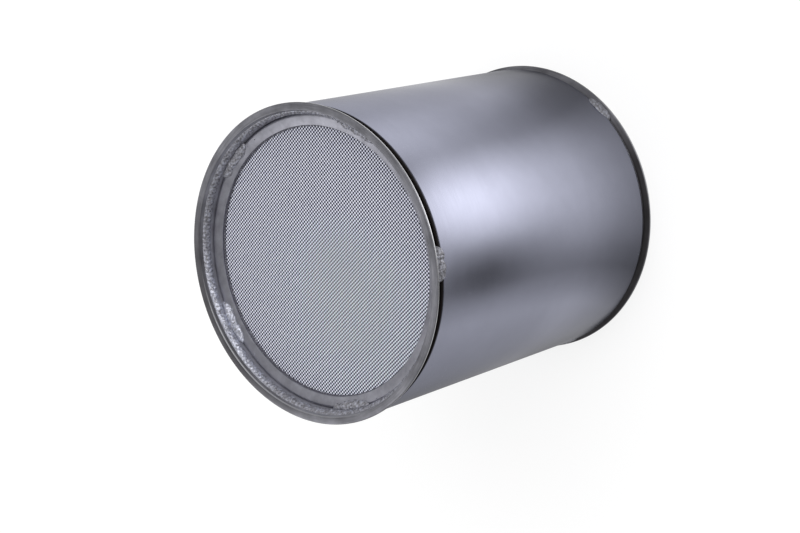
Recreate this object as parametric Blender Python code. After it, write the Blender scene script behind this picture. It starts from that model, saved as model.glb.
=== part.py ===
"""Diesel particulate filter: a two-skinned stainless can with a flange at each end.

The can stands on its outlet flange. +Z is the can's axis, and z = 0 is the outlet flange's
gasket face. Both ends are alike: an end piece is modelled with its gasket face at z = 0 and the
can below it, and is then placed at the inlet or turned over for the outlet. Sections are written
as (radius, depth), where the depth is measured inwards from the end's gasket face.
"""

import math

import bmesh
import bpy
from mathutils import Matrix, Vector

# Ceramic filter block, the common 10.5 inch by 12 inch size
BLOCK_DIAMETER = 0.2667
BLOCK_LENGTH = 0.3048
BLOCK_SKIN = 0.0020

# Square channels. The real block has about 17,000 of them, so they are drawn coarser here:
# pitch and wall are both this many times the real ones.
REAL_CHANNEL_PITCH = 0.001796
REAL_CHANNEL_WALL = 0.000305
COARSENESS = 8
PLUG_LENGTH = 0.0100

# Skins around the block, from the inside out
MAT_THICKNESS = 0.00385
CAN_WALL = 0.0016
INSULATION_THICKNESS = 0.0060
JACKET_WALL = 0.0012

# Depth of each face and edge below its gasket face
BLOCK_RECESS = 0.0201
CAN_SETBACK = 0.0096
JACKET_SETBACK = 0.0092
RING_SETBACK = 0.0126

# Flange
RIM_STAND = 0.0025
RIM_THICKNESS = 0.0020
RIM_EDGE_RADIUS = 0.0007
BACK_TAPER = math.radians(20)
NECK_WALL = 0.0019
NECK_LENGTH = 0.0190
NECK_FILLET = 0.0008
LEAD_IN_WIDTH = 0.0022
LEAD_IN_DEPTH = 0.0080
LEAD_IN_CORNER = 0.0009

# Jacket ends, rolled in onto the necks
JACKET_ROLL = 0.0030

# Retaining ring, pressed from sheet, with a dished lip over the block's edge
RING_LIP_WIDTH = 0.0109
RING_SHEET = 0.0015
RING_LIP_DROP = 0.0030
RING_CORNER = 0.0022
RING_SKIRT_OVERLAP = 0.0060
MAT_EDGE_CLEARANCE = 0.0015

# Knitted wire seal between the ring's lip and the block
SEAL_SETBACK = 0.0003

# Welds. The end fall is how far the square of a weld's size drops from its middle to its end.
FLANGE_WELD_CROWN = 0.0009
FLANGE_WELD_LEG = 0.0027
WELD_END_FALL = 0.8
STITCH_COUNT = 3
STITCH_LENGTH = 0.0330
STITCH_LAP = 0.0026
STITCH_CROWN = 0.0016
STITCH_START = math.radians(278.2)
STITCH_RIPPLES = 4
STITCH_RIPPLE_DEPTH = 0.35
TACK_COUNT = 5
TACK_LENGTH = 0.0460
TACK_REACH = 0.0062
TACK_HEIGHT = 0.0022
TACK_START = math.radians(52)

# Space that stands for contact between two pieces
FIT = 0.0003

# Flats round each turned piece, and steps along a rounded corner. A corner finer than the
# limit gets a single flat.
FACETS = 48
ARC_STEPS = 3
FINE_CORNER = 0.0010
STEPS_PER_RIPPLE = 2
TACK_STEPS = 6

block_radius = BLOCK_DIAMETER / 2
can_bore = block_radius + MAT_THICKNESS
can_radius = can_bore + CAN_WALL
jacket_bore = can_radius + INSULATION_THICKNESS
jacket_radius = jacket_bore + JACKET_WALL
flange_bore = can_radius + FIT
neck_radius = flange_bore + NECK_WALL
face_radius = flange_bore + LEAD_IN_WIDTH
rim_radius = jacket_radius + RIM_STAND
ring_radius = can_bore - FIT
aperture_radius = ring_radius - RING_LIP_WIDTH
overall_length = BLOCK_LENGTH + 2 * BLOCK_RECESS
facet_chord = math.cos(math.pi / FACETS)


def back_depth(radius):
    """Depth of the rim's tapered back."""
    return RIM_THICKNESS + (rim_radius - radius) * math.tan(BACK_TAPER)


def lip_depth(radius):
    """Depth of the retaining ring's dished front."""
    return RING_SETBACK + (ring_radius - radius) * RING_LIP_DROP / RING_LIP_WIDTH


def lip_back_depth(radius):
    """Depth of the dished lip's inner side, one sheet thickness behind its front."""
    slope_angle = math.atan2(RING_LIP_DROP, RING_LIP_WIDTH)
    return lip_depth(radius) + RING_SHEET / math.cos(slope_angle)


def rounded(corners):
    """Section points from (radius, depth, corner radius), with each corner drawn as an arc."""
    points = []
    for index, (radius, depth, fillet) in enumerate(corners):
        corner = Vector((radius, depth))
        if not fillet:
            points.append(corner)
            continue
        before = (Vector(corners[index - 1][:2]) - corner).normalized()
        after = (Vector(corners[(index + 1) % len(corners)][:2]) - corner).normalized()
        half = before.angle(after) / 2
        centre = corner + (before + after).normalized() * fillet / math.sin(half)
        start = corner + before * fillet / math.tan(half) - centre
        end = corner + after * fillet / math.tan(half) - centre
        turn = start.angle_signed(end)
        steps = 1 if fillet < FINE_CORNER else ARC_STEPS
        for step in range(steps + 1):
            arm = Matrix.Rotation(-turn * step / steps, 2) @ start
            points.append(centre + arm)
    return points


def finished(name, mesh_data, smooth_below=40):
    """A mesh from the bmesh, smooth apart from its sharp edges."""
    bmesh.ops.recalc_face_normals(mesh_data, faces=mesh_data.faces)
    mesh = bpy.data.meshes.new(name)
    mesh_data.to_mesh(mesh)
    mesh_data.free()
    mesh.shade_smooth()
    mesh.set_sharp_from_angle(angle=math.radians(smooth_below))
    return mesh


def turned(name, section):
    """A closed section, as (radius, depth) points, spun about the can's axis."""
    solid = bmesh.new()
    verts = [solid.verts.new((point[0], 0, -point[1])) for point in section]
    edges = [solid.edges.new((verts[i - 1], verts[i])) for i in range(len(verts))]
    bmesh.ops.spin(
        solid,
        geom=verts + edges,
        cent=(0, 0, 0),
        axis=(0, 0, 1),
        angle=math.tau,
        steps=FACETS,
        use_merge=True,
    )
    return finished(name, solid)


def swept(name, section_at, angle, steps):
    """A weld: section_at(t) gives its (radius, depth) points at t, from -1 to 1 along its length."""
    solid = bmesh.new()
    rows = []
    for step in range(steps + 1):
        t = 2 * step / steps - 1
        turn = Matrix.Rotation(t * angle / 2, 3, "Z")
        points = [turn @ Vector((radius, 0, -depth)) for radius, depth in section_at(t)]
        rows.append([solid.verts.new(point) for point in points])
    for row, following in zip(rows, rows[1:]):
        for i in range(len(row)):
            solid.faces.new((row[i - 1], row[i], following[i], following[i - 1]))
    solid.faces.new(rows[0])
    solid.faces.new(rows[-1])
    bmesh.ops.triangulate(solid, faces=solid.faces)
    return finished(name, solid)


def weld_size(t):
    """Share of a short weld's full size at t, from -1 to 1 along its length."""
    return math.sqrt(1 - WELD_END_FALL * t * t)


def metal(name, colour, roughness, metallic=1.0):
    """A plain material with the piece's colour."""
    material = bpy.data.materials.new(name)
    material.use_nodes = True
    shader = material.node_tree.nodes["Principled BSDF"]
    shader.inputs["Base Color"].default_value = (*colour, 1.0)
    shader.inputs["Roughness"].default_value = roughness
    shader.inputs["Metallic"].default_value = metallic
    return material


def add(name, mesh, material=None, height=0.0, upside_down=False, turn=0.0):
    """Puts a piece in the scene, under the can's own empty."""
    if material and not mesh.materials:
        mesh.materials.append(material)
    piece = bpy.data.objects.new(name, mesh)
    bpy.context.collection.objects.link(piece)
    piece.parent = assembly
    piece.location.z = height
    piece.rotation_euler = (math.pi if upside_down else 0.0, 0.0, turn)
    return piece


def add_at_ends(name, mesh, material, count=1, start=0.0):
    """The same piece at the inlet and, turned over, at the outlet, with its copies round the axis."""
    for end in ("inlet", "outlet"):
        outlet = end == "outlet"
        for index in range(count):
            number = f"_{index + 1}" if count > 1 else ""
            turn = start + index * math.tau / count
            height = 0.0 if outlet else overall_length
            add(f"{end}_{name}{number}", mesh, material, height, outlet, turn)


def flange_mesh():
    """Flange ring: flat gasket face, tapered back, and a neck that slips over the can."""
    section = rounded([
        (face_radius, 0.0, LEAD_IN_CORNER),
        (rim_radius, 0.0, RIM_EDGE_RADIUS),
        (rim_radius, RIM_THICKNESS, RIM_EDGE_RADIUS),
        (neck_radius, back_depth(neck_radius), NECK_FILLET),
        (neck_radius, NECK_LENGTH, 0.0),
        (flange_bore, NECK_LENGTH, 0.0),
        (flange_bore, LEAD_IN_DEPTH, 0.0),
    ])
    return turned("flange", section)


def flange_weld_mesh():
    """Fillet weld that runs all round, between the flange's lead-in and the can's end."""
    seat = CAN_SETBACK - FIT
    slope = LEAD_IN_WIDTH / LEAD_IN_DEPTH
    toe_depth = LEAD_IN_DEPTH - FLANGE_WELD_LEG
    toe_radius = face_radius - toe_depth * slope - FIT
    crown = Vector(((toe_radius + can_bore) / 2, (toe_depth + seat) / 2))
    outward = Vector((-1.0, -1.0)).normalized() * FLANGE_WELD_CROWN
    return turned("flange_weld", [
        (toe_radius, toe_depth),
        (flange_bore - FIT, LEAD_IN_DEPTH),
        (flange_bore - FIT, seat),
        (can_bore, seat),
        (can_bore + FIT, seat - 2 * FLANGE_WELD_CROWN),
        tuple(crown + outward),
    ])


def can_mesh():
    """Inner can, from weld to weld."""
    return turned("inner_can", [
        (can_bore, CAN_SETBACK),
        (can_radius, CAN_SETBACK),
        (can_radius, overall_length - CAN_SETBACK),
        (can_bore, overall_length - CAN_SETBACK),
    ])


def jacket_mesh():
    """Outer jacket, rolled in at both ends until it meets the flange necks."""
    lip = neck_radius + FIT
    near = JACKET_SETBACK
    far = overall_length - JACKET_SETBACK
    inner_roll = JACKET_ROLL - JACKET_WALL
    return turned("outer_jacket", rounded([
        (lip, near, 0.0),
        (jacket_radius, near, JACKET_ROLL),
        (jacket_radius, far, JACKET_ROLL),
        (lip, far, 0.0),
        (lip, far - JACKET_WALL, 0.0),
        (jacket_bore, far - JACKET_WALL, inner_roll),
        (jacket_bore, near + JACKET_WALL, inner_roll),
        (lip, near + JACKET_WALL, 0.0),
    ]))


def sleeve_mesh(name, inner, outer, depth):
    """Plain sleeve between two skins, clear of both, that starts at this depth at each end."""
    return turned(name, [
        (inner + FIT, depth),
        (outer - FIT, depth),
        (outer - FIT, overall_length - depth),
        (inner + FIT, overall_length - depth),
    ])


def ring_mesh():
    """Retaining ring: a skirt along the can's wall and a dished lip over the block's edge."""
    skirt_end = BLOCK_RECESS + RING_SKIRT_OVERLAP
    skirt_bore = ring_radius - RING_SHEET
    return turned("retaining_ring", rounded([
        (aperture_radius, lip_depth(aperture_radius), 0.0),
        (ring_radius, RING_SETBACK, RING_CORNER),
        (ring_radius, skirt_end, 0.0),
        (skirt_bore, skirt_end, 0.0),
        (skirt_bore, lip_back_depth(skirt_bore), RING_CORNER - RING_SHEET),
        (aperture_radius, lip_back_depth(aperture_radius), 0.0),
    ]))


def seal_mesh():
    """Knitted wire seal, squeezed between the ring's lip and the block's face."""
    inner = aperture_radius + SEAL_SETBACK
    outer = ring_radius - RING_SHEET - FIT
    corner = 2 * RING_CORNER - RING_SHEET
    seat = BLOCK_RECESS - FIT
    return turned("mesh_seal", [
        (inner, lip_back_depth(inner) + FIT),
        (outer - corner, lip_back_depth(outer - corner) + FIT),
        (outer, lip_back_depth(outer) + corner),
        (outer, seat),
        (inner, seat),
    ])


def stitch_mesh():
    """Stitch weld that fills the groove behind the rim and laps onto the jacket's rolled edge."""
    roll_radius = jacket_radius - JACKET_ROLL
    roll_depth = JACKET_SETBACK + JACKET_ROLL
    lap_depth = roll_depth + STITCH_LAP
    floor = neck_radius + NECK_FILLET
    back_fit = FIT / math.cos(BACK_TAPER)
    low = jacket_radius + 2 * FIT
    seat = JACKET_ROLL + FIT

    def section(t):
        ripple = STITCH_RIPPLE_DEPTH * abs(math.sin(t * math.pi * STITCH_RIPPLES / 2))
        crown = low - 2 * FIT + STITCH_CROWN * (1 - ripple) * weld_size(t)
        turns = [math.pi / 2 * step / ARC_STEPS for step in range(ARC_STEPS + 1)]
        arc = [
            (roll_radius + seat * math.cos(turn), roll_depth - seat * math.sin(turn))
            for turn in turns
        ]
        return [
            (floor, back_depth(floor) + back_fit),
            (low, back_depth(low) + back_fit),
            (crown, (back_depth(low) + JACKET_SETBACK) / 2),
            (crown, JACKET_SETBACK + JACKET_ROLL / 2),
            (low, lap_depth),
            (jacket_radius + FIT, lap_depth),
            *arc,
            (floor, JACKET_SETBACK - FIT),
        ]

    steps = STITCH_RIPPLES * STEPS_PER_RIPPLE
    return swept("jacket_stitch", section, STITCH_LENGTH / jacket_radius, steps)


def tack_mesh():
    """Tack weld in the corner between the can's wall and the retaining ring's lip."""
    wall = can_bore * facet_chord - FIT
    toe = wall - TACK_REACH

    def section(t):
        size = weld_size(t)
        reach = wall - TACK_REACH * size
        return [
            (wall, lip_depth(wall) - FIT),
            (wall, lip_depth(wall) - FIT - TACK_HEIGHT * size),
            ((wall + reach) / 2, lip_depth(toe) - FIT - TACK_HEIGHT * size),
            (reach, lip_depth(reach) - 2 * FIT),
            (reach, lip_depth(reach) - FIT),
        ]

    return swept("ring_tack", section, TACK_LENGTH / can_bore, TACK_STEPS)


def channel_cutter(name, end_height, other_height, parity):
    """Square rods through every second channel, from outside one end to the far plug."""
    pitch = REAL_CHANNEL_PITCH * COARSENESS
    width = (REAL_CHANNEL_PITCH - REAL_CHANNEL_WALL) * COARSENESS
    inward = math.copysign(1.0, other_height - end_height)
    start = end_height - inward * PLUG_LENGTH
    stop = other_height - inward * PLUG_LENGTH
    reach = block_radius * facet_chord - BLOCK_SKIN
    span = int(reach / pitch)
    rods = bmesh.new()
    for column in range(-span, span + 1):
        for row in range(-span, span + 1):
            corner = Vector((abs(column) * pitch + width / 2, abs(row) * pitch + width / 2))
            if (column + row) % 2 != parity or corner.length > reach:
                continue
            centre = Vector((column * pitch, row * pitch, (start + stop) / 2))
            size = Matrix.Diagonal((width, width, abs(stop - start), 1.0))
            bmesh.ops.create_cube(rods, size=1.0, matrix=Matrix.Translation(centre) @ size)
    cutter = add(name, finished(name, rods))
    cutter.display_type = "WIRE"
    cutter.hide_render = True
    return cutter


def add_filter_block(material):
    """Wall-flow block: each channel is open at one end and plugged at the other, in a checkerboard."""
    block = bmesh.new()
    bmesh.ops.create_cone(
        block,
        cap_ends=True,
        segments=FACETS,
        radius1=block_radius,
        radius2=block_radius,
        depth=BLOCK_LENGTH,
        matrix=Matrix.Translation((0, 0, overall_length / 2)),
    )
    piece = add("filter_block", finished("filter_block", block), material)
    low = BLOCK_RECESS
    high = overall_length - BLOCK_RECESS
    cutters = (
        channel_cutter("inlet_channels", high, low, 0),
        channel_cutter("outlet_channels", low, high, 1),
    )
    for cutter in cutters:
        cut = piece.modifiers.new(cutter.name, "BOOLEAN")
        cut.operation = "DIFFERENCE"
        cut.solver = "EXACT"
        cut.object = cutter


for old in list(bpy.data.objects):
    bpy.data.objects.remove(old)

assembly = bpy.data.objects.new("particulate_filter", None)
bpy.context.collection.objects.link(assembly)

cordierite = metal("cordierite", (0.48, 0.47, 0.50), 0.9, 0.0)
fibre_mat = metal("fibre_mat", (0.78, 0.74, 0.66), 0.95, 0.0)
glass_wool = metal("glass_wool", (0.70, 0.66, 0.52), 0.95, 0.0)
can_steel = metal("can_steel", (0.40, 0.39, 0.38), 0.45)
polished_steel = metal("polished_steel", (0.56, 0.57, 0.61), 0.22)
turned_steel = metal("turned_steel", (0.36, 0.36, 0.36), 0.38)
pressed_steel = metal("pressed_steel", (0.48, 0.48, 0.50), 0.35)
wire_steel = metal("wire_steel", (0.14, 0.14, 0.15), 0.6)
weld_steel = metal("weld_steel", (0.50, 0.51, 0.55), 0.3)

mat_depth = BLOCK_RECESS + RING_SKIRT_OVERLAP + MAT_EDGE_CLEARANCE
blanket_depth = NECK_LENGTH + FIT

add_filter_block(cordierite)
add(
    "mounting_mat",
    sleeve_mesh("mounting_mat", block_radius, can_bore, mat_depth),
    fibre_mat,
    overall_length,
)
add("inner_can", can_mesh(), can_steel, overall_length)
add(
    "insulation_blanket",
    sleeve_mesh("insulation_blanket", can_radius, jacket_bore, blanket_depth),
    glass_wool,
    overall_length,
)
add("outer_jacket", jacket_mesh(), polished_steel, overall_length)
add_at_ends("flange", flange_mesh(), turned_steel)
add_at_ends("flange_weld", flange_weld_mesh(), weld_steel)
add_at_ends("retaining_ring", ring_mesh(), pressed_steel)
add_at_ends("mesh_seal", seal_mesh(), wire_steel)
add_at_ends("ring_tack", tack_mesh(), weld_steel, TACK_COUNT, TACK_START)
add_at_ends("jacket_stitch", stitch_mesh(), weld_steel, STITCH_COUNT, STITCH_START)
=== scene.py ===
"""Diesel particulate filter: the finish of every surface, the welds and the fine honeycomb.

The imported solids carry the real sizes. Each piece here takes its place from them and is either a
finer version of one solid or something small that lies on it. Sections are (radius, depth) points
round the can's axis, where the depth is measured inwards from the end's gasket face. An end piece
is modelled with that face at z = 0 and the can below it, then placed at the inlet or turned over
for the outlet.
"""

import math
import random

import bmesh
import bpy
from mathutils import Matrix, Vector, noise


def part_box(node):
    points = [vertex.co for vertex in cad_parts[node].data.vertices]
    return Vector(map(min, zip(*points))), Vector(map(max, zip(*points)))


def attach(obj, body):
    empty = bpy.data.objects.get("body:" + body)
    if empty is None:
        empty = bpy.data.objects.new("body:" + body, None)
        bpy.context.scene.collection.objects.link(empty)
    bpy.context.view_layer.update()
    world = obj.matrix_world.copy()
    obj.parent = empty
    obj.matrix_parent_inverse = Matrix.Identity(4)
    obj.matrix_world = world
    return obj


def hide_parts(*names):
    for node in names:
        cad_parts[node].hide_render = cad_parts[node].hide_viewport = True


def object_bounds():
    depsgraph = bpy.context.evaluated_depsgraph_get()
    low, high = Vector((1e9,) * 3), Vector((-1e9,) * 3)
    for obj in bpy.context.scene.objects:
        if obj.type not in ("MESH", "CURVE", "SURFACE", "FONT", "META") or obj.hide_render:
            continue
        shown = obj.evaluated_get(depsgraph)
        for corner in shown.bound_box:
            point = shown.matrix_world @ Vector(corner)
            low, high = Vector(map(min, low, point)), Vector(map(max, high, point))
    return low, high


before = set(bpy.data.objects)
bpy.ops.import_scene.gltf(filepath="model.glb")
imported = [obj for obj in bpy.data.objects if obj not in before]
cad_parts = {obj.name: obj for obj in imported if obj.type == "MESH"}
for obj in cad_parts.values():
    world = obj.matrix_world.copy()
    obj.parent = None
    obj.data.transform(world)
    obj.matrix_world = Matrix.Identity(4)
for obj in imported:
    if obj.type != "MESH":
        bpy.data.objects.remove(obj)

bl_info = {
    "name": "Diesel Particulate Filter",
    "version": (1, 0, 0),
    "blender": (4, 5, 0),
    "location": "3D View > Sidebar > Filter",
    "description": "Builds the finished surfaces of a diesel particulate filter round its solids",
    "category": "Object",
}

MM = 0.001
CAMERA_AZIMUTH = math.radians(-70.8)

cad_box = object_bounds()
overall_length = cad_box[1].z


def reach(node):
    """Outer radius of a turned solid at the inlet, and the depths at which it starts and ends."""
    low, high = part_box(node)
    return high.x, overall_length - high.z, overall_length - low.z


rim_radius, _, neck_length = reach("inlet_flange")
jacket_radius, jacket_setback, _ = reach("outer_jacket")
can_radius, can_setback, _ = reach("inner_can")
ring_radius, ring_setback, skirt_end = reach("inlet_retaining_ring")
seal_radius, _, seal_seat = reach("inlet_mesh_seal")
block_radius, block_recess, _ = reach("filter_block")

ENDS = {
    "inlet": Matrix.Translation((0.0, 0.0, overall_length)),
    "outlet": Matrix.Rotation(math.pi, 4, "X"),
}


def hex_colour(text):
    """Linear red, green, blue and alpha of an sRGB hex value."""
    channels = [int(text[i:i + 2], 16) / 255 for i in (1, 3, 5)]
    linear = [c / 12.92 if c <= 0.04045 else ((c + 0.055) / 1.055) ** 2.4 for c in channels]
    return (*linear, 1.0)


def length_property(name, description, default):
    """A length in metres that the panel shows in the scene's unit."""
    return bpy.props.FloatProperty(
        name=name, description=description, default=default, precision=5, unit="LENGTH"
    )


def colour_property(name, description, default):
    """A colour whose default is an sRGB hex value."""
    return bpy.props.FloatVectorProperty(
        name=name,
        description=description,
        default=hex_colour(default),
        size=4,
        min=0.0,
        max=1.0,
        subtype="COLOR",
    )


class FilterSheetSizes(bpy.types.PropertyGroup):
    """Walls and corners of the sheet metal and turned pieces."""

    can_wall: length_property("Can wall", "Thickness of the inner can", 1.6 * MM)
    jacket_wall: length_property("Jacket wall", "Thickness of the outer jacket", 1.2 * MM)
    jacket_roll: length_property("Jacket roll", "Radius of the jacket's rolled ends", 3.0 * MM)
    ring_sheet: length_property("Ring sheet", "Thickness of the retaining ring", 1.5 * MM)
    ring_corner: length_property("Ring corner", "Outer radius of the ring's bend", 2.2 * MM)
    lip_width: length_property("Lip width", "Width of the ring's dished lip", 10.9 * MM)
    lip_drop: length_property("Lip drop", "Depth of the lip's dish", 3.0 * MM)
    lip_edge: length_property("Lip edge", "Rounding of the lip's sheared edge", 0.3 * MM)
    rim_thickness: length_property("Rim thickness", "Height of the flange's outer edge", 2.0 * MM)
    rim_edge: length_property("Rim edge", "Rounding of the flange's outer edge", 0.95 * MM)
    neck_wall: length_property("Neck wall", "Thickness of the flange's neck", 1.9 * MM)
    lead_in_width: length_property("Lead-in width", "Width of the flange's inner slope", 2.2 * MM)
    lead_in_depth: length_property("Lead-in depth", "Depth of the flange's inner slope", 8.0 * MM)
    back_taper: bpy.props.FloatProperty(
        name="Back taper",
        description="Slope of the rim's back",
        default=math.radians(20),
        subtype="ANGLE",
    )
    fit: length_property("Fit", "Space that stands for contact", 0.3 * MM)


class FilterChannelSizes(bpy.types.PropertyGroup):
    """Channels of the ceramic block: 200 to the square inch with 12 thousandths walls."""

    pitch: length_property("Pitch", "Distance from channel to channel", 1.796 * MM)
    wall: length_property("Wall", "Thickness of the walls between channels", 0.305 * MM)
    shown_depth: length_property("Shown depth", "Depth to which open channels are drawn", 10 * MM)
    slab_depth: length_property("Slab depth", "Thickness of the slab that holds them", 12 * MM)
    plug_rise: length_property("Plug rise", "Most that a plug stands over the face", 0.16 * MM)


class FilterWeldSizes(bpy.types.PropertyGroup):
    """Weld beads, tacks, stitches and spatter."""

    leg: length_property("Leg", "Reach of the flange weld up the flange's slope", 4.2 * MM)
    lap: length_property("Lap", "Reach of the flange weld down the can's wall", 1.9 * MM)
    crown: length_property("Crown", "Bulge of the flange weld", 1.6 * MM)
    ripple: length_property("Ripple", "Height of the ripples in a weld", 0.80 * MM)
    lump: length_property("Lump", "Unevenness of a weld", 0.45 * MM)
    pit: length_property("Pit", "Depth of the pits in a weld", 2.0 * MM)
    ripples: bpy.props.IntProperty(
        name="Ripples", description="Ripples round the flange weld", default=208, min=12
    )
    closing: bpy.props.FloatProperty(
        name="Closing place",
        description="Azimuth at which the flange weld closes on its start",
        default=math.radians(123),
        subtype="ANGLE",
    )
    tack_length: length_property("Tack length", "Length of a tack", 46 * MM)
    tack_reach: length_property("Tack reach", "Width of a tack on the ring", 7.2 * MM)
    tack_height: length_property("Tack height", "Height of a tack on the can's wall", 2.2 * MM)
    tack_crown: length_property("Tack crown", "Bulge of a tack", 1.9 * MM)
    stitch_length: length_property("Stitch length", "Length of a jacket stitch", 33 * MM)
    stitch_crown: length_property("Stitch crown", "Bulge of a jacket stitch", 1.5 * MM)
    spatters: bpy.props.IntProperty(
        name="Spatters", description="Drops of spatter at each end", default=30, min=0
    )
    spatter_size: length_property("Spatter size", "Radius of the largest drop", 0.75 * MM)


class FilterColours(bpy.types.PropertyGroup):
    """Colour of each finish in plain light."""

    polished: colour_property("Polished sheet", "Satin polished jacket", "#9a9cac")
    # Partly oxide colour from welding and partly painted shade on the jacket's rolled ends; painted
    # shade on the rims' backs
    scorch_and_shade: colour_property("Scorch", "Jacket's rolled ends beside the welds", "#262323")
    turned: colour_property("Turned steel", "Turned flanges", "#94949b")
    # A pale line on the flanges' inner edge: partly oxide colour from welding, partly painted
    # highlight
    tint_and_highlight: colour_property("Heat tint", "Line along the flange's inner edge", "#b6b6b9")
    # Rims' outer edges drawn bright: partly wear, partly painted highlight
    worn_and_highlit: colour_property("Worn edge", "Rims' outer edges, rubbed bright", "#dcdce0")
    rolled: colour_property("Rolled sheet", "Mill finish of the inner can", "#a6a6b0")
    pressed: colour_property("Pressed sheet", "Pressed retaining rings", "#9c9ca5")
    # Beads take this colour on their crests and towards the weld's close: partly bare metal, partly
    # painted highlight
    weld: colour_property("Weld", "Bare metal of the beads", "#cdd0de")
    scale: colour_property("Weld scale", "Oxide that dulls the beads", "#8f8e94")
    wire: colour_property("Wire", "Shadowed wire of the seals", "#5a5963")
    speck: colour_property("Wire speck", "Wire that turns to the light", "#b4b4bd")
    ceramic: colour_property("Ceramic", "Walls of the honeycomb", "#84869b")
    # Painted shade: near black, for the shade deep in channels that are drawn short
    channel: colour_property("Channel", "Washcoat inside the channels", "#171822")
    plug: colour_property("Plug", "Cement in the plugged channels", "#eceeff")
    mat: colour_property("Fibre mat", "Mounting mat", "#d9d3c4")
    wool: colour_property("Glass wool", "Insulation blanket", "#cbc4a6")
    floor: colour_property("Floor", "Studio floor", "#f2f2f2")


TURN_STEPS = 288
CORNER_STEPS = 4
BEAD_ROWS = 16
STEPS_PER_RIPPLE = 7

# Places of the two colours and of the result in a Mix node's sockets, when it mixes colours
MIX_FIRST = 6
MIX_SECOND = 7
MIX_RESULT = 2

# What metal mirrors. Azimuths are in degrees from the camera's side, reaches of far cards too.
# Brightness of the floor at each azimuth:
FLOOR_TONES = (
    (-180, 0.40), (-146, 0.36), (-122, 0.42), (-102, 0.60), (-84, 0.72), (-72, 0.80), (-60, 0.90),
    (-48, 0.64), (-38, 0.46), (-30, 0.58), (-20, 0.86), (-8, 1.12), (4, 1.24), (18, 1.14),
    (32, 0.90), (44, 0.68), (56, 0.74), (76, 1.04), (110, 1.04), (140, 0.70), (180, 0.40),
)
# Soft spots on it: azimuth, distance from the axis and reach in metres, and what each adds:
FLOOR_SPOTS = (
    (14, 0.45, 0.27, 1.7), (58, 0.50, 0.28, 0.66), (-26, 0.43, 0.19, -0.46),
    (52, 0.18, 0.10, -0.24), (-72, 0.155, 0.10, 0.28),
)
# Its shades: distances at which each starts and stops, and its share before and after:
FLOOR_SHADES = ((0.15, 0.21, 0.42, 0.90), (0.55, 1.20, 1.0, 0.1))
# Pale cards far off: azimuth, elevation, reach and brightness:
FAR_CARDS = ((45, 34, 46, 0.45), (14, 43, 24, 2.10), (146, 36, 26, 0.40), (202, 30, 25, 1.40))


def feed(tree, node, inputs):
    """Sets a node's inputs, each to a value or to another node's output."""
    for name, value in inputs.items():
        if isinstance(value, bpy.types.NodeSocket):
            tree.links.new(value, node.inputs[name])
        else:
            node.inputs[name].default_value = value


def add_node(tree, kind, inputs=None, output=0, stops=(), **settings):
    """An output of a new shader node, which gets its settings, its inputs and a ramp's stops."""
    node = tree.nodes.new("ShaderNode" + kind)
    for name, value in settings.items():
        setattr(node, name, value)
    feed(tree, node, inputs or {})
    for index, (position, colour) in enumerate(stops):
        elements = node.color_ramp.elements
        element = elements[index] if index < 2 else elements.new(position)
        element.position = position
        element.color = colour
    return node.outputs[output]


def limits(start, stop, first=0.0, last=1.0):
    """Inputs of a Map Range node: where the value starts and stops, and the result at each."""
    return {"From Min": start, "From Max": stop, "To Min": first, "To Max": last}


def new_material(name, colour, roughness, metallic):
    """A material, its node tree and its shader, with the finish's plain values on the sockets."""
    material = bpy.data.materials.new(name)
    material.use_nodes = True
    tree = material.node_tree
    shader = tree.nodes["Principled BSDF"]
    feed(tree, shader, {"Base Color": colour, "Roughness": roughness, "Metallic": metallic})
    return material, tree, shader


def shaded(colour, share):
    """The same colour at another brightness."""
    return (*[min(channel * share, 1.0) for channel in colour[:3]], 1.0)


def flat_direction(azimuth):
    """The direction away from the axis at an azimuth in radians."""
    return Vector((math.cos(azimuth), math.sin(azimuth), 0.0))


def round_axis(tree):
    """Where a point lies round the can's axis: its direction, its distance and its height."""
    place = add_node(tree, "TexCoord", output="Object")
    flat = add_node(tree, "VectorMath", {0: place, 1: (1.0, 1.0, 0.0)}, operation="MULTIPLY")
    direction = add_node(tree, "VectorMath", {0: flat}, operation="NORMALIZE")
    radius = add_node(tree, "VectorMath", {0: flat}, "Value", operation="LENGTH")
    height = add_node(tree, "SeparateXYZ", {"Vector": place}, "Z")
    return direction, radius, height


def below_end(tree, height):
    """Depth of a point below the nearer end's gasket face."""
    middle = overall_length / 2
    offset = add_node(tree, "Math", {0: height, 1: middle}, operation="SUBTRACT")
    away = add_node(tree, "Math", {0: offset}, operation="ABSOLUTE")
    return add_node(tree, "Math", {0: middle, 1: away}, operation="SUBTRACT")


def nearing(tree, direction, target, reach, most, least=0.0):
    """A factor that goes from its least, this many degrees from a target, to its most at it."""
    facing = add_node(
        tree, "VectorMath", {0: direction, 1: target}, "Value", operation="DOT_PRODUCT"
    )
    return add_node(
        tree,
        "MapRange",
        {"Value": facing, **limits(math.cos(math.radians(reach)), 1.0, least, most)},
        interpolation_type="SMOOTHSTEP",
    )


def mottled(tree, colour, patch, dark, light, detail=3.0):
    """The colour in cloudy patches of about this size in metres, from darker to lighter."""
    place = add_node(tree, "TexCoord", output="Object")
    cloud = add_node(
        tree,
        "TexNoise",
        {"Vector": place, "Scale": 1.0 / patch, "Detail": detail, "Roughness": 0.6},
    )
    return add_node(
        tree,
        "ValToRGB",
        {"Fac": cloud},
        stops=((0.3, shaded(colour, dark)), (0.7, shaded(colour, light))),
    )


def pebbled(tree, grain, depth):
    """A surface normal roughened by grains of this size and depth in metres."""
    place = add_node(tree, "TexCoord", output="Object")
    grains = add_node(tree, "TexNoise", {"Vector": place, "Scale": 1.0 / grain, "Detail": 2.0})
    return add_node(tree, "Bump", {"Height": grains, "Distance": depth, "Strength": 1.0})


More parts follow.
